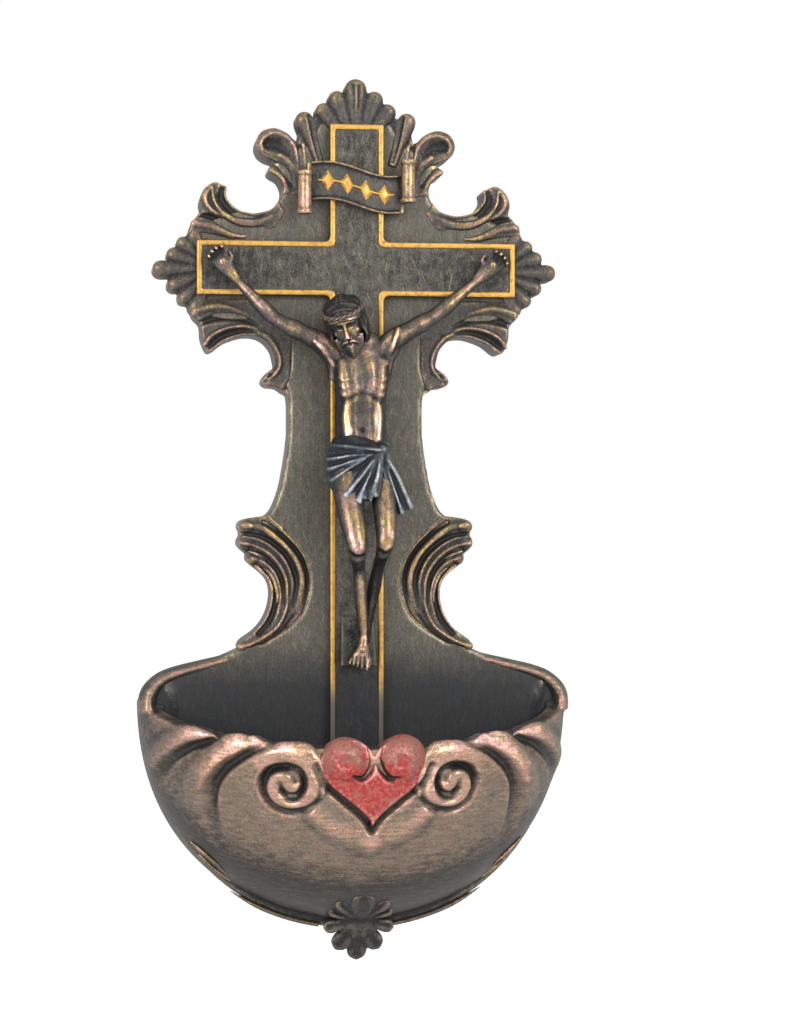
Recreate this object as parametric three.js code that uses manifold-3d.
// Wall-hung holy water stoup with a crucifix, in millimetres, +Z up.
// X runs to the viewer's right, the wall is the plane y = 0 and the front faces -Y.
// The origin is the point on the wall where the hanger's keyhole slot bears on its hook.
// Below, "out" is a distance from the wall towards the viewer, so y = -out.

import * as THREE from "three";
import { mergeVertices } from "three/addons/utils/BufferGeometryUtils.js";
import Module from "manifold-3d";

const wasm = await Module();
wasm.setup();

// Clearances
const SEAT_GAP = 0.3; // between a piece and the neighbour that it is cut to fit
const PIN_CLEARANCE = 0.3; // round a nail or a screw in its hole

// Blocks that cut away all that lies past a face
const CUTTER_HALF_WIDTH = 200;
const CUTTER_DEPTH = 100;
const CUTTER_BELOW = 400;
const CUTTER_ABOVE = 200;
const RIM_CUTTER_WIDTH = 300;
const RIM_CUTTER_HEIGHT = 100;

// Back plate
const PLATE_THICKNESS = 13;
const PLATE_DRAFT = 1.4; // how far the flank leans in
const PLATE_DRAFT_DEPTH = 6; // how much of the thickness leans
const FLANGE_THICKNESS = 7; // the thinner ledge that carries the edge ornaments
const FLANGE_INSET = 0.7; // how far the ledge stays inside the ornaments
const HEAD_MARGIN = 1.6; // plate above the top of the cross
const ARM_MARGIN = 1.5; // plate beyond the ends and corners of the arms
const SHAFT_HALF_WIDTH = 19.2;
const LOWER_LEDGE = 3; // plate below the bottom of the bowl
const UPPER_NOTCH = { x: 28.8, z: 23.5, radius: 8 };
const LOWER_NOTCH = { x: 30, z: -26, radius: 11.2 };
const SHAFT_NOTCH = { x: 35, aboveRim: 25, radius: 12.2 };
const HEAD_SLOPE = { topMargin: 2, lowMargin: 6.4, drop: 5 }; // from the top down to the upper notch
const UPPER_ARM_CURVE = { startX: 38, startRise: 5.9, endInset: 3, endRise: 3 };
const LOWER_ARM_CURVE = { startInset: 4, startRise: 4, endX: 37, endRise: 5.6 };
const SHAFT_NECK = { flare: 1.2, top: -32.5, bottom: -37, aboveRim: 72 };
const SHAFT_FLARE = [[1.1, 63], [3, 55.5]]; // beyond the shaft's side and above the rim
const SHAFT_KNEE = [[25.5, 49.5], [31, 47.8], [33, 45.4], [32.2, 40]]; // across and above the rim
const SHOULDER = [[32.5, 11.4], [42, 7.8]]; // across and above the rim
const BOWL_CORNER = [[6.7, 4.4], [2.2, 1.4], [0, -3]]; // inside the bowl's side and above the rim
const LOWER_EDGE_BELOW_RIM = 6;

// Cross
const ARM_WIDTH = 15.2;
const ARM_REACH = 45.4; // half the span of the cross
const HEAD_TOP = 41; // top of the cross above the crossing
const CROSS_BELOW_RIM = 18.5; // how far the cross runs down below the front of the rim
const PANEL_RISE = 2.5;
const PANEL_FILLET = 1.2;
const BORDER_WIDTH = 1.8;
const BORDER_INSET = 0.2; // bare edge of the panel outside the border
const BORDER_RISE = 0.6;

// Title scroll
const SCROLL_HALF_LENGTH = 13.6;
const SCROLL_HEIGHT = 10.8;
const SCROLL_THICKNESS = 1.3;
const SCROLL_CENTRE_Z = 22.9;
const SCROLL_SWAY = 1.5; // how far the left end stands above the right end, halved
const SCROLL_BILLOW = 0.9;
const ROLL_RADIUS = 2.1;
const ROLL_HEIGHT = 12.2;
const LOZENGE_COUNT = 4;
const LOZENGE_SIZE = 2.4;
const LOZENGE_PITCH = 5.2;
const GILT_THICKNESS = 0.5;

// Bowl
const RIM_Z = -119; // the rim at the wall
const RIM_DROP = 12.5; // how much lower the rim is at the front
const BOWL_HALF_WIDTH = 61.7;
const BOWL_HEIGHT = 66;
const BOWL_REACH = 52; // how far the bowl stands out from the wall
const BOWL_WALL = 5;
const BOWL_FLOOR = 6;
const BOWL_FULLNESS = 2.4; // exponent of the side profile, 2 is an ellipse
const SEAL_THICKNESS = 1;
const SEAL_INSET = 1;

// Heart and volutes on the bowl's front
const HEART_WIDTH = 28.8;
const HEART_HEIGHT = 22.9;
const HEART_TOP_ABOVE_RIM = 2;
const HEART_RISE = 4.5;
const VOLUTE_X = 22.4;
const VOLUTE_BELOW_RIM = 23;
const VOLUTE_OUTER_RADIUS = 8.6;
const VOLUTE_INNER_RADIUS = 1.6;
const VOLUTE_TURNS = 1.25;
const VOLUTE_THICKNESS = 1.6;

// Foot rest and nails
const REST_HALF_WIDTH = 5;
const REST_TOP = -98.5;
const REST_BOTTOM = -112.3;
const REST_TOP_DEPTH = 1.2;
const REST_BOTTOM_DEPTH = 5.6;
const NAIL_RADIUS = 0.5;
const NAIL_HEAD_RADIUS = 1.1;
const NAIL_HEAD_HEIGHT = 0.8;
const NAIL_BITE = 1.3; // how far a nail goes into what it is driven into

// Hanger and screws
const HANGER_WIDTH = 30;
const HANGER_HEIGHT = 18;
const HANGER_THICKNESS = 1.5;
const KEYHOLE_SLOT_RADIUS = 2;
const KEYHOLE_HEAD_RADIUS = 4;
const KEYHOLE_LENGTH = 7;
const KEYHOLE_POCKET_DEPTH = 6;
const HANGER_SCREW_SPACING = 22;
const HANGER_SCREW = { headRadius: 2, headHeight: 1, shankRadius: 1, length: 7 };
const BOWL_SCREW_RECESS = 4.5; // how deep the head sits below the plate's back
const BOWL_SCREW_BITE = 7.5; // how far the screw goes into the bowl
const BOWL_SCREW_X = 36;
const BOWL_SCREW_ABOVE_FLOOR = 3;
const BOSS_RADIUS = 5;

// Fineness of the curves
const CURVE_STEPS = 2;
const BOWL_STEPS = 12;
const BOWL_SEGMENTS = 48;
const ROUND_SIDES = 12;
const STROKE_ACROSS = 4;

// Places worked out from the sizes above
const PANEL_FACE = PLATE_THICKNESS + PANEL_RISE;
const BORDER_FACE = PANEL_FACE + BORDER_RISE;
const BOWL_SEAT = PLATE_THICKNESS + SEAL_THICKNESS;
const RIM_FRONT_Z = RIM_Z - RIM_DROP;
const BOWL_BOTTOM = RIM_Z - BOWL_HEIGHT;
const CROSS_FOOT = RIM_FRONT_Z - CROSS_BELOW_RIM;
const BOWL_SCREW = { headRadius: 3, headHeight: 2, shankRadius: 1.5 };
BOWL_SCREW.length = BOWL_SEAT + BOWL_SCREW_BITE - BOWL_SCREW_RECESS - BOWL_SCREW.headHeight;

// Finishes
const finish = (color, roughness, metalness) =>
  new THREE.MeshStandardMaterial({ color, roughness, metalness });
const BRONZE = finish(0x4c4943, 0.5, 0.6);
const COPPER = finish(0x8a6a5a, 0.45, 0.6);
const GILT = finish(0xc8963a, 0.35, 0.8);
const FIGURE = finish(0x967060, 0.45, 0.6);
const CLOTH = finish(0x404a52, 0.5, 0.5);
const HEART_RED = finish(0xb84a44, 0.4, 0.2);
const STEEL = finish(0x9a9a98, 0.4, 0.9);
const RUBBER = finish(0x2a2a2a, 0.8, 0);

const stoup = new THREE.Group();

// Moves every vertex of a geometry by a rule that changes the point it is given.
function reshape(geometry, rule) {
  const places = geometry.attributes.position;
  const point = new THREE.Vector3();
  for (let i = 0; i < places.count; i += 1) {
    point.fromBufferAttribute(places, i);
    rule(point);
    places.setXYZ(i, point.x, point.y, point.z);
  }
  return geometry;
}

// A closed geometry as a solid that can be joined and cut, turned right side out.
function solidOf(geometry) {
  const bare = geometry.clone();
  bare.deleteAttribute("normal");
  bare.deleteAttribute("uv");
  const merged = mergeVertices(bare, 1e-4);
  const corners = merged.index.array;
  const triangles = [];
  for (let i = 0; i < corners.length; i += 3) {
    const [a, b, c] = [corners[i], corners[i + 1], corners[i + 2]];
    if (a !== b && b !== c && c !== a) {
      triangles.push(a, b, c);
    }
  }
  const build = (list) =>
    new wasm.Manifold(
      new wasm.Mesh({
        numProp: 3,
        vertProperties: new Float32Array(merged.attributes.position.array),
        triVerts: new Uint32Array(list),
      }),
    );
  const solid = build(triangles);
  return solid.volume() < 0 ? build(triangles.reverse()) : solid;
}

// The largest body of a solid, without offcuts.
function largest(solid) {
  const bodies = solid.decompose();
  bodies.sort((a, b) => b.volume() - a.volume());
  return bodies[0];
}

const joined = (solids) => solids.reduce((whole, solid) => whole.add(solid));
const cut = (solid, tools) => tools.reduce((left, tool) => left.subtract(tool), solid);

// Adds a solid to the model as a named piece.
function addPiece(name, solid, material) {
  const mesh = largest(solid).getMesh();
  const geometry = new THREE.BufferGeometry();
  geometry.setAttribute("position", new THREE.BufferAttribute(mesh.vertProperties, 3));
  geometry.setIndex(new THREE.BufferAttribute(mesh.triVerts, 1));
  geometry.computeVertexNormals();
  const piece = new THREE.Mesh(geometry, material);
  piece.name = name;
  stoup.add(piece);
}

// The value of a list at t from 0 to 1, with straight lines between its entries.
function sample(list, t) {
  const place = THREE.MathUtils.clamp(t, 0, 1) * (list.length - 1);
  const index = Math.min(Math.floor(place), list.length - 2);
  return THREE.MathUtils.lerp(list[index], list[index + 1], place - index);
}

// A flat slab of a front-view shape between two distances from the wall.
function slab(shape, from, to) {
  const geometry = new THREE.ExtrudeGeometry(shape, {
    depth: to - from,
    bevelEnabled: false,
    curveSegments: 6,
  });
  geometry.translate(0, 0, from).rotateX(Math.PI / 2);
  return solidOf(geometry);
}

// A slab from the wall outwards whose front edge leans in.
function draftedSlab(shape, to, draft, draftDepth, grow = 0) {
  const geometry = new THREE.ExtrudeGeometry(shape, {
    depth: to - draftDepth,
    bevelEnabled: true,
    bevelThickness: draftDepth,
    bevelSize: draft,
    bevelOffset: grow - draft,
    bevelSegments: 1,
  });
  geometry.rotateX(Math.PI / 2);
  return solidOf(geometry).subtract(cutter(-CUTTER_DEPTH, 0, CUTTER_BELOW));
}

// A box between two corners.
function block(low, high) {
  const geometry = new THREE.BoxGeometry(high[0] - low[0], high[1] - low[1], high[2] - low[2]);
  geometry.translate((low[0] + high[0]) / 2, (low[1] + high[1]) / 2, (low[2] + high[2]) / 2);
  return solidOf(geometry);
}

// A block wider and higher than the stoup, between two distances from the wall.
function cutter(from, to, above = CUTTER_ABOVE) {
  return block(
    [-CUTTER_HALF_WIDTH, -to, -CUTTER_BELOW],
    [CUTTER_HALF_WIDTH, -from, above],
  );
}

// A round solid on an axis square to the wall: its profile is pairs of radius and distance out.
function turned(profile, x, z) {
  const points = profile.map(([radius, out]) => new THREE.Vector2(radius, out));
  const geometry = new THREE.LatheGeometry(points, ROUND_SIDES);
  return solidOf(reshape(geometry, (p) => p.set(p.x + x, -p.y, p.z + z)));
}

const pin = (radius, from, to, x, z) =>
  turned([[0, from], [radius, from], [radius, to], [0, to]], x, z);

// A round-bodied limb through stations of place, half width and half depth.
function limb(stations, sides, steps, grow = 0) {
  const centres = stations.map((s) => new THREE.Vector3(s.x, -s.out, s.z));
  const curve = new THREE.CatmullRomCurve3(centres, false, "centripetal");
  const wides = stations.map((s) => s.wide + grow);
  const deeps = stations.map((s) => (s.deep ?? s.wide) + grow);
  const towardsViewer = new THREE.Vector3(0, -1, 0);
  return solidOf(
    reshape(new THREE.CylinderGeometry(1, 1, 1, sides, steps), (p) => {
      const t = p.y + 0.5;
      const along = curve.getTangent(t);
      const across = towardsViewer.clone().cross(along).normalize();
      const forward = along.clone().cross(across);
      const place = curve.getPoint(t);
      place.addScaledVector(across, p.x * sample(wides, t));
      place.addScaledVector(forward, p.z * sample(deeps, t));
      p.copy(place);
    }),
  );
}

// An ornament's stroke: front-view points, and widths and heights spread evenly along them.
const strokeCurve = (stroke) =>
  new THREE.CatmullRomCurve3(
    stroke.points.map(([x, z]) => new THREE.Vector3(x, 0, z)),
    false,
    "centripetal",
  );

const EDGE_SHARE = 0.3; // height of a stroke's edge beside its crown

// A ribbon along a stroke: its section rule gives a height for each place across and along it.
function ribbonAlong(stroke, across, base, widthAt, heightAt) {
  const curve = strokeCurve(stroke);
  const steps = stroke.steps ?? stroke.points.length * 2;
  const leanAt = (z) => (stroke.lean ? stroke.lean.slope * (z - stroke.lean.fromZ) : 0);
  return solidOf(
    reshape(new THREE.BoxGeometry(1, 1, 1, across, steps, 1), (p) => {
      const t = p.y + 0.5;
      const place = curve.getPoint(t);
      const along = curve.getTangent(t);
      const side = Math.sin(p.x * Math.PI);
      const half = (widthAt(t) / 2) * side;
      const height = p.z > 0 ? heightAt(t, side) : 0;
      const z = place.z - along.x * half;
      p.set(place.x + along.z * half, -(base + leanAt(z) + height), z);
    }),
  );
}

// A stroke as a crowned solid with a flat back at a distance from the wall, grown sideways by a gap.
function relief(stroke, base, grow = 0) {
  const crown = (side) => EDGE_SHARE + (1 - EDGE_SHARE) * Math.sqrt(1 - side * side);
  return ribbonAlong(
    stroke,
    stroke.across ?? STROKE_ACROSS,
    base,
    (t) => sample(stroke.widths, t) + 2 * grow,
    (t, side) => (sample(stroke.heights, t) + grow) * crown(side),
  );
}

// The flat ledge under a stroke, a little inside its outline.
function strokeLedge(stroke) {
  const inside = (t) => Math.max(sample(stroke.widths, t) - 2 * FLANGE_INSET, FLANGE_INSET);
  return ribbonAlong(stroke, 1, 0, inside, () => FLANGE_THICKNESS);
}

// The flat ledge under a fan of lobes, with corners just inside the lobes' tips.
function fanLedge(strokes, thickness) {
  const root = new THREE.Vector2(...strokes[0].points[0]);
  const corners = strokes.map((stroke) => {
    const tip = new THREE.Vector2(...stroke.points.at(-1));
    return tip.lerp(root, (2 * FLANGE_INSET) / tip.distanceTo(root));
  });
  return slab(new THREE.Shape([root, ...corners]), 0, thickness);
}

const mirrored = (stroke, side) => ({
  ...stroke,
  points: stroke.points.map(([x, z]) => [x * side, z]),
});

// A fan of lobes about a root, each given by its angle from the axis and its reach.
function lobeFan(root, axis, lobes, rootWidth, heights) {
  return lobes.map(([angle, reach, width]) => {
    const turn = axis + THREE.MathUtils.degToRad(angle);
    const at = (share) => [
      root[0] + Math.sin(turn) * reach * share,
      root[1] + Math.cos(turn) * reach * share,
    ];
    return {
      points: [at(0.12), at(0.5), at(1)],
      widths: [rootWidth, (rootWidth + width) / 2, width, width, width * 0.55],
      heights,
      steps: 6,
    };
  });
}

// Half width of the bowl, or of a grown copy, at a height.
function bowlHalfWidth(z, halfWidth, height) {
  const share = THREE.MathUtils.clamp((RIM_Z - z) / height, 0, 1);
  return halfWidth * Math.sqrt(1 - share ** BOWL_FULLNESS);
}

// How far out the bowl's surface is at a front-view point.
function bowlOut(x, z) {
  const half = bowlHalfWidth(z, BOWL_HALF_WIDTH, BOWL_HEIGHT);
  return (BOWL_REACH / BOWL_HALF_WIDTH) * Math.sqrt(Math.max(half * half - x * x, 0));
}

// The height of the basin's floor, against the plate, at a distance from the middle.
function basinFloorAtSeat(x) {
  const reach = BOWL_REACH - BOWL_WALL;
  const halfAtSeat = (BOWL_HALF_WIDTH - BOWL_WALL) * Math.sqrt(1 - (BOWL_SEAT / reach) ** 2);
  const share = (1 - (x / halfAtSeat) ** 2) ** (1 / BOWL_FULLNESS);
  return RIM_Z - (BOWL_HEIGHT - BOWL_FLOOR) * share;
}

// The points of the bowl's side profile from the rim down to the axis.
function bowlProfile(halfWidth, height) {
  const points = [];
  for (let i = 0; i <= BOWL_STEPS; i += 1) {
    const turn = (i / BOWL_STEPS) * (Math.PI / 2);
    const share = Math.sin(turn) ** (2 / BOWL_FULLNESS);
    points.push(new THREE.Vector2(halfWidth * Math.cos(turn), RIM_Z - height * share));
  }
  points[BOWL_STEPS].x = 0;
  return points;
}

// A full bowl-shaped body, closed above the rim.
function bowlBody(halfWidth, height, reach) {
  const side = bowlProfile(halfWidth, height).reverse();
  const top = RIM_Z + 10;
  const profile = [...side, new THREE.Vector2(halfWidth, top), new THREE.Vector2(0, top)];
  const geometry = new THREE.LatheGeometry(profile, BOWL_SEGMENTS);
  geometry.rotateX(Math.PI / 2).scale(1, reach / halfWidth, 1);
  return solidOf(geometry);
}

// The room above the rim, whose plane falls towards the front.
function aboveRim(lower = 0) {
  const geometry = new THREE.BoxGeometry(RIM_CUTTER_WIDTH, RIM_CUTTER_WIDTH, RIM_CUTTER_HEIGHT);
  geometry.translate(0, 0, RIM_CUTTER_HEIGHT / 2).rotateX(Math.atan2(RIM_DROP, BOWL_REACH));
  geometry.translate(0, 0, RIM_Z - lower);
  return solidOf(geometry);
}

// Half of the plate's outline, from the top centre round the right side to the bottom.
function plateHalfOutline() {
  const path = new THREE.Path();
  const v = (x, z) => new THREE.Vector2(x, z);
  const rad = THREE.MathUtils.degToRad;
  const shaftNotchZ = RIM_Z + SHAFT_NOTCH.aboveRim;
  const armEnd = ARM_REACH + ARM_MARGIN;
  const armEdge = ARM_WIDTH / 2 + ARM_MARGIN;
  path.moveTo(0, HEAD_TOP + HEAD_MARGIN);
  path.lineTo(ARM_WIDTH / 2 + HEAD_SLOPE.topMargin, HEAD_TOP + HEAD_MARGIN);
  path.lineTo(ARM_WIDTH / 2 + HEAD_SLOPE.lowMargin, HEAD_TOP - HEAD_SLOPE.drop);
  path.absarc(UPPER_NOTCH.x, UPPER_NOTCH.z, UPPER_NOTCH.radius, rad(128), rad(300), false);
  path.splineThru([
    v(UPPER_ARM_CURVE.startX, armEdge + UPPER_ARM_CURVE.startRise),
    v(armEnd - UPPER_ARM_CURVE.endInset, armEdge + UPPER_ARM_CURVE.endRise),
    v(armEnd, armEdge),
  ]);
  path.lineTo(armEnd, -armEdge);
  path.splineThru([
    v(armEnd - LOWER_ARM_CURVE.startInset, -armEdge - LOWER_ARM_CURVE.startRise),
    v(LOWER_ARM_CURVE.endX, -armEdge - LOWER_ARM_CURVE.endRise),
    v(LOWER_NOTCH.x, LOWER_NOTCH.z + LOWER_NOTCH.radius),
  ]);
  path.absarc(LOWER_NOTCH.x, LOWER_NOTCH.z, LOWER_NOTCH.radius, rad(90), rad(190), false);
  path.splineThru([
    v(SHAFT_HALF_WIDTH + SHAFT_NECK.flare, SHAFT_NECK.top),
    v(SHAFT_HALF_WIDTH, SHAFT_NECK.bottom),
  ]);
  path.lineTo(SHAFT_HALF_WIDTH, RIM_Z + SHAFT_NECK.aboveRim);
  path.splineThru([
    ...SHAFT_FLARE.map(([out, rise]) => v(SHAFT_HALF_WIDTH + out, RIM_Z + rise)),
    ...SHAFT_KNEE.map(([x, rise]) => v(x, RIM_Z + rise)),
  ]);
  path.absarc(SHAFT_NOTCH.x, shaftNotchZ, SHAFT_NOTCH.radius, rad(118), rad(238), false);
  path.splineThru([
    ...SHOULDER.map(([x, rise]) => v(x, RIM_Z + rise)),
    ...BOWL_CORNER.map(([inset, rise]) => v(BOWL_HALF_WIDTH - inset, RIM_Z + rise)),
  ]);
  const upper = path.getPoints(CURVE_STEPS);
  const lower = bowlProfile(BOWL_HALF_WIDTH, BOWL_HEIGHT + LOWER_LEDGE).filter(
    (p) => p.y < RIM_Z - LOWER_EDGE_BELOW_RIM,
  );
  return [...upper, ...lower];
}

function plateShape() {
  const half = plateHalfOutline();
  const left = half
    .filter((p) => p.x > 0.01)
    .reverse()
    .map((p) => new THREE.Vector2(-p.x, p.y));
  return new THREE.Shape([...half, ...left]);
}

// The outline of the cross, drawn in by an inset, with small fillets in its inner corners.
function crossShape(inset, foot) {
  const half = ARM_WIDTH / 2 - inset;
  const reach = ARM_REACH - inset;
  const top = HEAD_TOP - inset;
  const r = PANEL_FILLET;
  const shape = new THREE.Shape();
  shape.moveTo(-half, foot);
  shape.lineTo(half, foot);
  shape.lineTo(half, -half - r);
  shape.quadraticCurveTo(half, -half, half + r, -half);
  shape.lineTo(reach, -half);
  shape.lineTo(reach, half);
  shape.lineTo(half + r, half);
  shape.quadraticCurveTo(half, half, half, half + r);
  shape.lineTo(half, top);
  shape.lineTo(-half, top);
  shape.lineTo(-half, half + r);
  shape.quadraticCurveTo(-half, half, -half - r, half);
  shape.lineTo(-reach, half);
  shape.lineTo(-reach, -half);
  shape.lineTo(-half - r, -half);
  shape.quadraticCurveTo(-half, -half, -half, -half - r);
  return shape;
}

// Edge ornaments of the right side, mirrored for the left
const CREST_LOBES = [
  [-52, 19.3, 5.2],
  [-35, 18.2, 5],
  [-18, 18.9, 5],
  [0, 21.6, 7],
  [18, 18.9, 5],
  [35, 18.2, 5],
  [52, 19.3, 5.2],
];
const SIDE_LOBES = [
  [-60, 13.8, 4.4],
  [-40, 13.6, 4.2],
  [-20, 14.3, 4.2],
  [0, 17.9, 5],
  [20, 14.3, 4.2],
  [40, 13.6, 4.2],
  [60, 13.8, 4.4],
];
const PENDANT_LOBES = [
  [-128, 8.6, 5],
  [-84, 10.4, 5.4],
  [-44, 11.4, 5.2],
  [0, 14, 7],
  [44, 11.4, 5.2],
  [84, 10.4, 5.4],
  [128, 8.6, 5],
  [180, 6.4, 6],
];
const PENDANT_LEAN = 0.6; // how far out the pendant leans for each millimetre of height
const PENDANT_BACKING = 6; // thickness behind the lobes, trimmed to the plate and bowl
const PENDANT_OUT = 19; // the leaning face at the pendant's root
const CREST_ROOT = [0, HEAD_TOP - 8];
const SIDE_ROOT = [ARM_REACH - 5.4, 0];
const PENDANT_ROOT = [0, BOWL_BOTTOM + 3];
const CREST_LEAF = {
  points: [
    [12, HEAD_TOP - 11],
    [17, HEAD_TOP - 7],
    [21.6, HEAD_TOP - 4.4],
    [25, HEAD_TOP - 5.4],
    [26, HEAD_TOP - 8.8],
  ],
  widths: [9, 10, 8, 6, 3.4],
  heights: [6.6, 6.4, 5.6, 4.6, 3.4],
};
const UPPER_SCROLL = {
  points: [[29, 12], [36, 13.4], [40.4, 17], [41, 21], [38.6, 23.4]],
  widths: [6, 8, 7.6, 6.4, 3.6],
  heights: [6.6, 6.4, 5.8, 5.2, 4],
};
const LOWER_LEAF = {
  points: [[41.8, -21.4], [38.6, -17.6], [31, -15.6], [23.8, -19], [20.6, -26], [22, -30.6], [25.4, -32]],
  widths: [4, 8, 6.4, 4.8, 4, 3.6, 2],
  heights: [3.6, 5.6, 6.6, 6.8, 6.8, 6, 4],
};
const SHAFT_RIBS = [
  {
    points: [[32.4, 46], [26.4, 44.4], [19.6, 37.6], [15.4, 29], [15.8, 23.4], [18.4, 18.4]],
    widths: [2, 2.6, 2.4, 2.2, 2, 1],
    heights: [1.6, 2.2, 2, 1.8, 1.6, 1],
    across: 2,
  },
  {
    points: [[32, 41], [27.6, 39.4], [21.6, 33.4], [19, 25.6], [21.2, 18.6], [27.4, 14.2], [32, 12.4]],
    widths: [2.4, 3, 2.8, 2.6, 2.8, 3, 2],
    heights: [1.8, 2.4, 2.4, 2.2, 2.4, 2.4, 1.6],
    across: 2,
  },
];
const RIB_BED = {
  points: [[31, 43.6], [24.4, 39.8], [18.6, 31.6], [18, 24], [22, 17.2], [30.4, 12.8]],
  widths: [4, 6, 6, 5, 5, 3],
  heights: [0.8, 0.8],
  across: 2,
};
const SHOULDER_RAIL = {
  points: [[33.6, 7.6], [44, 4.4], [BOWL_HALF_WIDTH - 7.4, 1.4], [BOWL_HALF_WIDTH - 3.2, -3.2]],
  widths: [3.6, 5, 5.4, 4.6],
  heights: [2, 3, 3.4, 2.4],
};
const aboveTheRim = (stroke) => ({
  ...stroke,
  points: stroke.points.map(([x, z]) => [x, z + RIM_Z]),
});

const plateOutline = plateShape();
const plateBody = draftedSlab(plateOutline, PLATE_THICKNESS, PLATE_DRAFT, PLATE_DRAFT_DEPTH);
const plateRoom = draftedSlab(plateOutline, 2 * PLATE_THICKNESS, 0, 1, SEAT_GAP);
const lobeHeights = [6.6, 6.2, 5.4, 4.6, 2.4];
const crestFan = lobeFan(CREST_ROOT, 0, CREST_LOBES, 2.4, lobeHeights);
const sideFan = lobeFan(SIDE_ROOT, Math.PI / 2, SIDE_LOBES, 2.2, lobeHeights);
const pendantHeights = [5, 4.6, 4, 3.2, 1].map((height) => height + PENDANT_BACKING);
const pendantFan = lobeFan(PENDANT_ROOT, Math.PI, PENDANT_LOBES, 3, pendantHeights).map((stroke) => ({
  ...stroke,
  lean: { slope: PENDANT_LEAN, fromZ: PENDANT_ROOT[1] },
  across: 2,
}));
const edgeOrnaments = [
  ["crest_leaf", [CREST_LEAF]],
  ["side_shell", sideFan],
  ["upper_scroll", [UPPER_SCROLL]],
  ["lower_leaf", [LOWER_LEAF]],
];
const SIDES = [
  ["left", -1],
  ["right", 1],
];

// Bowl, with bosses for its two screws
const bowlOuter = bowlBody(BOWL_HALF_WIDTH, BOWL_HEIGHT, BOWL_REACH);
const bowlInner = bowlBody(BOWL_HALF_WIDTH - BOWL_WALL, BOWL_HEIGHT - BOWL_FLOOR, BOWL_REACH - BOWL_WALL);
const bowlRoom = bowlBody(BOWL_HALF_WIDTH + SEAT_GAP, BOWL_HEIGHT + SEAT_GAP, BOWL_REACH + SEAT_GAP);
const bowlSurface = cut(bowlRoom, [aboveRim(-SEAT_GAP)]);
const bowlScrewZ = basinFloorAtSeat(BOWL_SCREW_X) + BOWL_SCREW_ABOVE_FLOOR;
const bowlScrewTip = BOWL_SCREW_RECESS + BOWL_SCREW.headHeight + BOWL_SCREW.length;
const behindSeat = cutter(-CUTTER_DEPTH, BOWL_SEAT);

// A screw's profile, with its head at a distance out and grown all round by a clearance.
function screwProfile(screw, from, grow) {
  const headEnd = from + screw.headHeight + grow;
  const tip = from + screw.headHeight + screw.length + grow;
  const head = screw.headRadius + grow;
  const shank = screw.shankRadius + grow;
  return [[0, from], [head, from], [head, headEnd], [shank, headEnd], [shank, tip], [0, tip]];
}

const bowlScrewRoom = SIDES.map(([, side]) =>
  turned(screwProfile(BOWL_SCREW, BOWL_SCREW_RECESS, PIN_CLEARANCE), side * BOWL_SCREW_X, bowlScrewZ).add(
    pin(BOWL_SCREW.headRadius + PIN_CLEARANCE, -1, BOWL_SCREW_RECESS + 0.5, side * BOWL_SCREW_X, bowlScrewZ),
  ),
);
const bosses = SIDES.map(([, side]) =>
  pin(BOSS_RADIUS, BOWL_SEAT, bowlScrewTip + 3, side * BOWL_SCREW_X, bowlScrewZ).intersect(bowlOuter),
);
const bowlShell = cut(bowlOuter, [bowlInner, behindSeat, aboveRim()]);
addPiece("bowl", cut(joined([bowlShell, ...bosses]), [behindSeat, ...bowlScrewRoom]), COPPER);

const sealOuter = bowlBody(BOWL_HALF_WIDTH - SEAL_INSET, BOWL_HEIGHT - SEAL_INSET, BOWL_REACH - SEAL_INSET);
const sealInner = bowlBody(
  BOWL_HALF_WIDTH - BOWL_WALL + SEAL_INSET,
  BOWL_HEIGHT - BOWL_FLOOR + SEAL_INSET,
  BOWL_REACH - BOWL_WALL + SEAL_INSET,
);
const sealBand = cutter(PLATE_THICKNESS, BOWL_SEAT);
addPiece("bowl_seal", cut(sealOuter.intersect(sealBand), [sealInner, aboveRim(SEAL_INSET)]), RUBBER);
SIDES.forEach(([name, side]) => {
  const profile = screwProfile(BOWL_SCREW, BOWL_SCREW_RECESS, 0);
  addPiece(`bowl_screw_${name}`, turned(profile, side * BOWL_SCREW_X, bowlScrewZ), STEEL);
});

// Hanger plate with its keyhole, in a recess of the plate's back
function hangerShape(grow) {
  const [w, h] = [HANGER_WIDTH / 2 + grow, HANGER_HEIGHT / 2 + grow];
  const z = -KEYHOLE_LENGTH / 2;
  const shape = new THREE.Shape();
  shape.moveTo(-w, z - h);
  shape.lineTo(w, z - h);
  shape.lineTo(w, z + h);
  shape.lineTo(-w, z + h);
  return shape;
}

function keyholeShape() {
  const path = new THREE.Shape();
  const top = -KEYHOLE_SLOT_RADIUS;
  const meet = Math.asin(KEYHOLE_SLOT_RADIUS / KEYHOLE_HEAD_RADIUS);
  const headZ = -KEYHOLE_LENGTH - KEYHOLE_SLOT_RADIUS;
  path.absarc(0, top, KEYHOLE_SLOT_RADIUS, 0, Math.PI, false);
  path.absarc(0, headZ, KEYHOLE_HEAD_RADIUS, Math.PI / 2 + meet, Math.PI * 2.5 - meet, false);
  return path;
}

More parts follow.
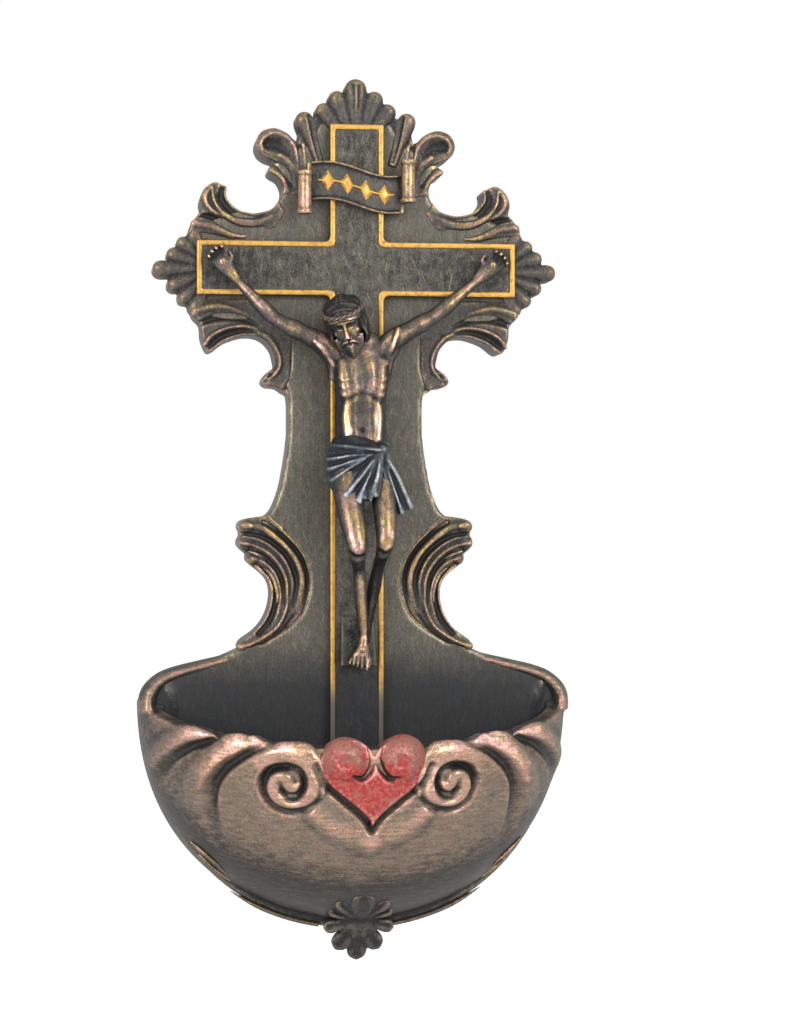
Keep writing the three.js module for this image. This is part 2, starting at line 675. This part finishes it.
const keyhole = slab(keyholeShape(), -1, HANGER_THICKNESS + 1);
const hangerScrewZ = -KEYHOLE_LENGTH / 2;
const hangerScrewAt = (side) => (side * HANGER_SCREW_SPACING) / 2;
const hangerScrewRoom = SIDES.map(([, side]) =>
  turned(screwProfile(HANGER_SCREW, 0, PIN_CLEARANCE), hangerScrewAt(side), hangerScrewZ).add(
    pin(HANGER_SCREW.headRadius + PIN_CLEARANCE, -1, 0.5, hangerScrewAt(side), hangerScrewZ),
  ),
);
const hangerBlank = slab(hangerShape(0), 0, HANGER_THICKNESS);
addPiece("hanger_plate", cut(hangerBlank, [keyhole, ...hangerScrewRoom]), STEEL);
SIDES.forEach(([name, side]) => {
  const profile = screwProfile(HANGER_SCREW, 0, 0);
  addPiece(`hanger_screw_${name}`, turned(profile, hangerScrewAt(side), hangerScrewZ), STEEL);
});
const hangerRecess = slab(hangerShape(SEAT_GAP), -1, HANGER_THICKNESS);
const keyholeRoom = KEYHOLE_HEAD_RADIUS + 1.5;
const hookPocket = joined([
  pin(keyholeRoom, HANGER_THICKNESS - 0.5, KEYHOLE_POCKET_DEPTH + HANGER_THICKNESS, 0, -KEYHOLE_SLOT_RADIUS),
  pin(keyholeRoom, HANGER_THICKNESS - 0.5, KEYHOLE_POCKET_DEPTH + HANGER_THICKNESS, 0, -KEYHOLE_LENGTH - 1),
]);

// Back plate
const ledges = [
  fanLedge(crestFan, FLANGE_THICKNESS),
  ...SIDES.flatMap(([, side]) => [
    fanLedge(sideFan.map((stroke) => mirrored(stroke, side)), FLANGE_THICKNESS),
    ...[CREST_LEAF, UPPER_SCROLL, LOWER_LEAF].map((stroke) => strokeLedge(mirrored(stroke, side))),
  ]),
];
const plateCuts = [hangerRecess, hookPocket, ...hangerScrewRoom, ...bowlScrewRoom];
addPiece("back_plate", cut(joined([plateBody, ...ledges]), plateCuts), BRONZE);

// Edge ornaments on the plate's ledge
const seated = (strokes, base, rooms) => cut(joined(strokes.map((s) => relief(s, base))), rooms);
addPiece("crest_shell", seated(crestFan, FLANGE_THICKNESS, [plateRoom]), BRONZE);
const crestRoom = joined(crestFan.map((stroke) => relief(stroke, FLANGE_THICKNESS - 1, SEAT_GAP + 1)));
SIDES.forEach(([name, side]) => {
  edgeOrnaments.forEach(([ornament, strokes]) => {
    const turnedStrokes = strokes.map((stroke) => mirrored(stroke, side));
    addPiece(`${name}_${ornament}`, seated(turnedStrokes, FLANGE_THICKNESS, [plateRoom, crestRoom]), BRONZE);
  });
  const ribs = [...SHAFT_RIBS, RIB_BED].map((stroke) => mirrored(aboveTheRim(stroke), side));
  addPiece(`${name}_shaft_scroll`, seated(ribs, PLATE_THICKNESS, []), BRONZE);
  const rail = mirrored(aboveTheRim(SHOULDER_RAIL), side);
  addPiece(`${name}_shoulder_rail`, seated([rail], PLATE_THICKNESS, [bowlSurface]), BRONZE);
});
const plateSeat = draftedSlab(plateOutline, PLATE_THICKNESS + SEAT_GAP, 0, 1, SEAT_GAP);
const pendantBase = PENDANT_OUT - PENDANT_BACKING;
addPiece("pendant_shell", seated(pendantFan, pendantBase, [plateSeat, bowlRoom]), BRONZE);

// Heart on the front of the rim: a ball whose front view is drawn into a heart and laid on the bowl.
const HEART_CURVE_TOP = 11.9; // highest and lowest points of the curve below, in its own units
const HEART_CURVE_BOTTOM = -17;
const HEART_CURVE_HALF = 16;

function heartOutline(turn) {
  const across = HEART_CURVE_HALF * Math.sin(turn) ** 3;
  const up = 13 * Math.cos(turn) - 5 * Math.cos(2 * turn) - 2 * Math.cos(3 * turn) - Math.cos(4 * turn);
  const tall = HEART_HEIGHT / (HEART_CURVE_TOP - HEART_CURVE_BOTTOM);
  return [(across * HEART_WIDTH) / (2 * HEART_CURVE_HALF), (up - HEART_CURVE_TOP) * tall];
}

const heartTop = RIM_FRONT_Z + HEART_TOP_ABOVE_RIM;
const heartMiddle = heartOutline(0)[1] - HEART_HEIGHT * 0.12;
const heartBall = reshape(new THREE.SphereGeometry(1, 24, 8), (p) => {
  const radial = Math.hypot(p.x, p.z);
  const [x, z] = heartOutline(Math.atan2(p.x, p.z));
  const place = heartTop + THREE.MathUtils.lerp(heartMiddle, z, radial);
  const out = bowlOut(0, Math.min(place, RIM_FRONT_Z)) + p.y * HEART_RISE;
  p.set(x * radial, -out, place);
});
addPiece("heart_boss", solidOf(heartBall).subtract(bowlSurface), HEART_RED);

// Volutes on the bowl's front
function voluteStations(side) {
  const centreZ = RIM_Z - VOLUTE_BELOW_RIM;
  const stations = [];
  const place = (x, z, radius) =>
    stations.push({ x: side * x, z, out: bowlOut(x, z) + SEAT_GAP + 0.2, wide: radius });
  place(VOLUTE_X + 16, centreZ - 6, 0.7);
  place(VOLUTE_X + 11, centreZ + 4, 1.5);
  const steps = 16;
  for (let i = 0; i <= steps; i += 1) {
    const share = i / steps;
    const turn = Math.PI / 3 + share * VOLUTE_TURNS * 2 * Math.PI;
    const radius = THREE.MathUtils.lerp(VOLUTE_OUTER_RADIUS, VOLUTE_INNER_RADIUS, share);
    place(VOLUTE_X + radius * Math.cos(turn), centreZ + radius * Math.sin(turn), VOLUTE_THICKNESS);
  }
  return stations;
}

SIDES.forEach(([name, side]) => {
  addPiece(`${name}_volute`, limb(voluteStations(side), 6, 26).subtract(bowlRoom), COPPER);
});

// Bead along the plate's lower edge, and the leaves that clasp its ends
const beadProfile = bowlProfile(BOWL_HALF_WIDTH, BOWL_HEIGHT + LOWER_LEDGE - 1);
const beadRun = beadProfile.slice(6, 12).map((p) => [p.x, p.y]);
const beadStroke = {
  points: beadRun,
  widths: [1, 1.6, 1.6, 1.4],
  heights: [1, 1.8, 1.8, 1.4],
};
const claspAt = beadProfile[6];
const CLASP = {
  points: [
    [claspAt.x + 3.6, claspAt.y + 6.4],
    [claspAt.x + 0.6, claspAt.y + 1.4],
    [claspAt.x - 5, claspAt.y - 3.4],
  ],
  widths: [1.2, 4.4, 4.4, 1],
  heights: [1.4, 4, 3.6, 1.2],
  steps: 8,
};
SIDES.forEach(([name, side]) => {
  const clasp = relief(mirrored(CLASP, side), PLATE_THICKNESS);
  const claspRoom = relief(mirrored(CLASP, side), PLATE_THICKNESS - 1, SEAT_GAP + 1);
  addPiece(`${name}_leaf_clasp`, clasp.subtract(bowlRoom), BRONZE);
  const bead = relief(mirrored(beadStroke, side), PLATE_THICKNESS);
  addPiece(`${name}_bead`, bead.subtract(bowlRoom).subtract(claspRoom), BRONZE);
});

// Nails, with the hands and feet that they hold
const palm = { x: ARM_REACH - 7, z: 1.2, deep: 1.25 };
const palmOut = BORDER_FACE + SEAT_GAP + palm.deep + 0.5;
const footNail = { x: 0.2, z: -107.6 };
const restFace = (z) =>
  PANEL_FACE + THREE.MathUtils.mapLinear(z, REST_TOP, REST_BOTTOM, REST_TOP_DEPTH, REST_BOTTOM_DEPTH);
const FOOT_DEEP = 1.4;
const backFootOut = (z) => restFace(z) + SEAT_GAP + FOOT_DEEP;
const frontFootOut = (z) => backFootOut(z) + 2 * FOOT_DEEP + SEAT_GAP;

function nailProfile(headOut, tipOut, grow) {
  const head = NAIL_HEAD_RADIUS + grow;
  const shank = NAIL_RADIUS + grow;
  const under = headOut - grow;
  const top = headOut + NAIL_HEAD_HEIGHT + (grow > 0 ? 4 : 0);
  return [[0, tipOut - grow], [shank, tipOut - grow], [shank, under], [head, under], [head, top], [0, top]];
}

const handNailHead = palmOut + palm.deep + SEAT_GAP;
const handNailTip = PANEL_FACE - NAIL_BITE;
const footNailHead = frontFootOut(footNail.z) + FOOT_DEEP + 2 * SEAT_GAP;
const footNailTip = restFace(footNail.z) - NAIL_BITE;
const handNailRoom = SIDES.map(([, side]) =>
  turned(nailProfile(handNailHead, handNailTip, PIN_CLEARANCE), side * palm.x, palm.z),
);
const footNailRoom = turned(nailProfile(footNailHead, footNailTip, PIN_CLEARANCE), footNail.x, footNail.z);
SIDES.forEach(([name, side]) => {
  const profile = nailProfile(handNailHead, handNailTip, 0);
  addPiece(`${name}_hand_nail`, turned(profile, side * palm.x, palm.z), BRONZE);
});
addPiece("foot_nail", turned(nailProfile(footNailHead, footNailTip, 0), footNail.x, footNail.z), BRONZE);

// Cross panel, its gilt border and the foot rest
const panelBlank = slab(crossShape(0, CROSS_FOOT), PLATE_THICKNESS, PANEL_FACE);
addPiece("cross_panel", cut(panelBlank, handNailRoom), BRONZE);
const borderOuter = slab(crossShape(BORDER_INSET, CROSS_FOOT + BORDER_INSET), PANEL_FACE, BORDER_FACE);
const borderInset = BORDER_INSET + BORDER_WIDTH;
const borderInner = slab(crossShape(borderInset, CROSS_FOOT + borderInset), PANEL_FACE - 1, BORDER_FACE + 1);
addPiece("gilt_border", borderOuter.subtract(borderInner), GILT);

function restBlock(grow) {
  const w = REST_HALF_WIDTH + grow;
  const box = new THREE.BoxGeometry(2 * w, 1, 1);
  return solidOf(
    reshape(box, (p) => {
      const z = p.z > 0 ? REST_TOP + grow : REST_BOTTOM - grow;
      p.set(p.x, p.y > 0 ? -PANEL_FACE : -(restFace(z) + grow), z);
    }),
  );
}
addPiece("foot_rest", restBlock(0).subtract(footNailRoom), BRONZE);

// Figure: stations are given from the face of the cross
const fromCross = (x, z, out, wide, deep) => ({ x, z, out: PANEL_FACE + out, wide, deep });
const TORSO = [
  fromCross(0.4, -58, 9.2, 6.6, 4.6),
  fromCross(0.3, -52, 8.6, 7.6, 5),
  fromCross(0.2, -45.5, 7.8, 6.7, 4.5),
  fromCross(0, -37, 7.8, 7.9, 5.4),
  fromCross(0, -28.5, 7.6, 8.8, 5.6),
  fromCross(-0.2, -23, 7.4, 8, 4.2),
  fromCross(-1, -19.6, 8.4, 3.2, 3),
  fromCross(-2.2, -16.6, 9.6, 2.6, 2.6),
];
const armStations = (side, shoulderZ, elbowZ) => [
  fromCross(side * 5.6, shoulderZ - 3.6, 7.4, 2, 2.2),
  fromCross(side * 9.6, shoulderZ, 7.6, 3.4, 3.5),
  fromCross(side * 15.4, (shoulderZ * 2 + elbowZ) / 3, 7, 2.7, 2.7),
  fromCross(side * 22.9, elbowZ, 5.8, 2.1, 2.1),
  fromCross(side * 26.5, elbowZ + 3.6, 5.2, 2.3, 2.1),
  { x: side * (palm.x - 5), z: palm.z - 6, out: palmOut + 0.4, wide: 1.5, deep: 1.3 },
  { x: side * palm.x, z: palm.z, out: palmOut, wide: 2.6, deep: palm.deep },
  { x: side * (palm.x + 2.6), z: palm.z + 3.2, out: palmOut, wide: 2, deep: 0.8 },
];
const footStations = (x, out) => [
  { x: x - 0.2, z: REST_TOP - 5, out: out(REST_TOP - 5) + 0.4, wide: 1.7, deep: 1.7 },
  { x, z: footNail.z, out: out(footNail.z), wide: 2.3, deep: FOOT_DEEP },
  { x: x + 0.1, z: REST_BOTTOM, out: out(REST_BOTTOM), wide: 2.4, deep: 1.1 },
  { x: x + 0.1, z: REST_BOTTOM - 1.8, out: out(REST_BOTTOM) + 0.2, wide: 1.4, deep: 0.6 },
];
const LEFT_LEG = [
  fromCross(-3.9, -55, 9.4, 3.6, 3.8),
  fromCross(-4, -66, 12, 4.2, 4.2),
  fromCross(-3.2, -77, 16.6, 3.3, 3.4),
  fromCross(-2.9, -81.5, 17, 2.9, 2.9),
  fromCross(-2.4, -90, 13.6, 2.9, 2.9),
  ...footStations(-0.4, frontFootOut),
];
const RIGHT_LEG = [
  fromCross(4.6, -55, 9.4, 3.6, 3.8),
  fromCross(5.2, -66, 11.8, 4.2, 4.2),
  fromCross(5.6, -77, 16, 3.3, 3.4),
  fromCross(5.4, -81.5, 16, 2.9, 2.9),
  fromCross(4, -90, 11.4, 2.8, 2.8),
  ...footStations(0.8, backFootOut),
];
const LOINCLOTH = [
  fromCross(0.4, -48.4, 8.4, 8.3, 5.9),
  fromCross(0.4, -52, 9, 9.3, 6.8),
  fromCross(0.6, -60, 10.4, 9.9, 7.6),
  fromCross(0.8, -66.6, 12, 9.8, 7.2),
];
const CLOTH_TAIL = [
  fromCross(9.2, -49.6, 11.6, 2.2, 2),
  fromCross(10.8, -54, 12, 1.5, 1.4),
  fromCross(11.8, -61, 12.4, 2, 1.7),
  fromCross(12.6, -69.6, 12.6, 2.6, 1.6),
];
const HEAD = { x: -4.9, z: -15.6, out: PANEL_FACE + 13, wide: 5.2, deep: 5.6, tall: 7.8 };
const CROWN = { radius: 5.3, thickness: 1, z: HEAD.z + 4.4 };

const torso = limb(TORSO, 12, 10);
const torsoRoom = limb(TORSO, 12, 10, SEAT_GAP);
const rest = restBlock(SEAT_GAP);
const rightLeg = limb(RIGHT_LEG, 8, 14);
const rightLegRoom = limb(RIGHT_LEG, 8, 14, SEAT_GAP);
const leftLegRoom = limb(LEFT_LEG, 8, 14, SEAT_GAP);

// An egg-shaped head, narrower at the chin, leaning forward and to the left.
function headForm(grow) {
  const ball = new THREE.SphereGeometry(1, 14, 10);
  return solidOf(
    reshape(ball.rotateX(Math.PI / 2), (p) => {
      const taper = p.z < 0 ? 1 + 0.42 * p.z * Math.abs(p.z) : 1;
      const x = p.x * (HEAD.wide + grow) * taper;
      const forward = -p.y * (HEAD.deep + grow) * taper - p.z * 2.2;
      const z = p.z * (HEAD.tall + grow);
      p.set(HEAD.x + x - z * 0.08, -(HEAD.out + forward), HEAD.z + z);
    }),
  );
}

const head = headForm(0);
addPiece("corpus_torso", torso, FIGURE);
addPiece("corpus_head", head.subtract(torsoRoom), FIGURE);
const crownRing = new THREE.TorusGeometry(CROWN.radius, CROWN.thickness, 6, 18);
crownRing.rotateX(0.24).translate(HEAD.x - 0.3, -(HEAD.out - 0.8), CROWN.z);
addPiece("thorn_crown", solidOf(crownRing).subtract(headForm(SEAT_GAP)), BRONZE);
const armRooms = [torsoRoom, headForm(SEAT_GAP), ...handNailRoom];
const leftArm = limb(armStations(-1, -21.6, -14.8), 8, 14);
const rightArm = limb(armStations(1, -20.2, -13.4), 8, 14);
addPiece("corpus_left_arm", cut(leftArm, armRooms), FIGURE);
addPiece("corpus_right_arm", cut(rightArm, armRooms), FIGURE);
addPiece("corpus_right_leg", cut(rightLeg, [torsoRoom, rest, footNailRoom]), FIGURE);
const leftLeg = limb(LEFT_LEG, 8, 14);
addPiece("corpus_left_leg", cut(leftLeg, [torsoRoom, rightLegRoom, rest, footNailRoom]), FIGURE);
const clothForm = joined([limb(LOINCLOTH, 12, 5), limb(CLOTH_TAIL, 6, 6)]);
addPiece("loincloth", cut(clothForm, [torsoRoom, leftLegRoom, rightLegRoom]), CLOTH);

// Title scroll: a billowing ribbon between two rolls, and its gilt ornament
const billowAt = (u) => SCROLL_BILLOW * (1 + Math.cos((u / SCROLL_HALF_LENGTH) * Math.PI));
const scrollSeat = BORDER_FACE + SEAT_GAP - billowAt(ARM_WIDTH / 2);

function onScroll(u, w, lift) {
  const sway = SCROLL_SWAY * Math.sin(((u / SCROLL_HALF_LENGTH) * Math.PI) / 2);
  return [u, -(scrollSeat + billowAt(u) + lift), SCROLL_CENTRE_Z - sway + w];
}

const ribbon = solidOf(
  reshape(new THREE.BoxGeometry(1, 1, 1, 12, 1, 1), (p) =>
    p.set(...onScroll(p.x * 2 * SCROLL_HALF_LENGTH, p.z * SCROLL_HEIGHT, (0.5 - p.y) * SCROLL_THICKNESS)),
  ),
);
const rolls = SIDES.map(([, side]) => {
  const x = side * (SCROLL_HALF_LENGTH + ROLL_RADIUS / 2);
  const z = SCROLL_CENTRE_Z + side * SCROLL_SWAY;
  const geometry = new THREE.CylinderGeometry(ROLL_RADIUS, ROLL_RADIUS, ROLL_HEIGHT, ROUND_SIDES);
  geometry.rotateX(Math.PI / 2).translate(x, -(BORDER_FACE + SEAT_GAP + ROLL_RADIUS), z);
  return solidOf(geometry);
});
addPiece("title_scroll", joined([ribbon, ...rolls]), BRONZE);
const giltLift = SCROLL_THICKNESS + SEAT_GAP;
const giltRun = LOZENGE_PITCH * (LOZENGE_COUNT - 1) + LOZENGE_SIZE * 2;
const giltLine = solidOf(
  reshape(new THREE.BoxGeometry(1, 1, 1, 10, 1, 1), (p) =>
    p.set(...onScroll(p.x * giltRun, p.z * 0.7, giltLift + (0.5 - p.y) * GILT_THICKNESS)),
  ),
);
const lozenges = [];
for (let i = 0; i < LOZENGE_COUNT; i += 1) {
  const centre = (i - (LOZENGE_COUNT - 1) / 2) * LOZENGE_PITCH;
  const geometry = new THREE.CylinderGeometry(LOZENGE_SIZE, LOZENGE_SIZE, 1, 4, 1);
  const bent = reshape(geometry, (p) =>
    p.set(...onScroll(centre + p.x * 0.7, p.z, giltLift + (0.5 + p.y) * GILT_THICKNESS)),
  );
  lozenges.push(solidOf(bent));
}
addPiece("title_ornament", joined([giltLine, ...lozenges]), GILT);

export default stoup;
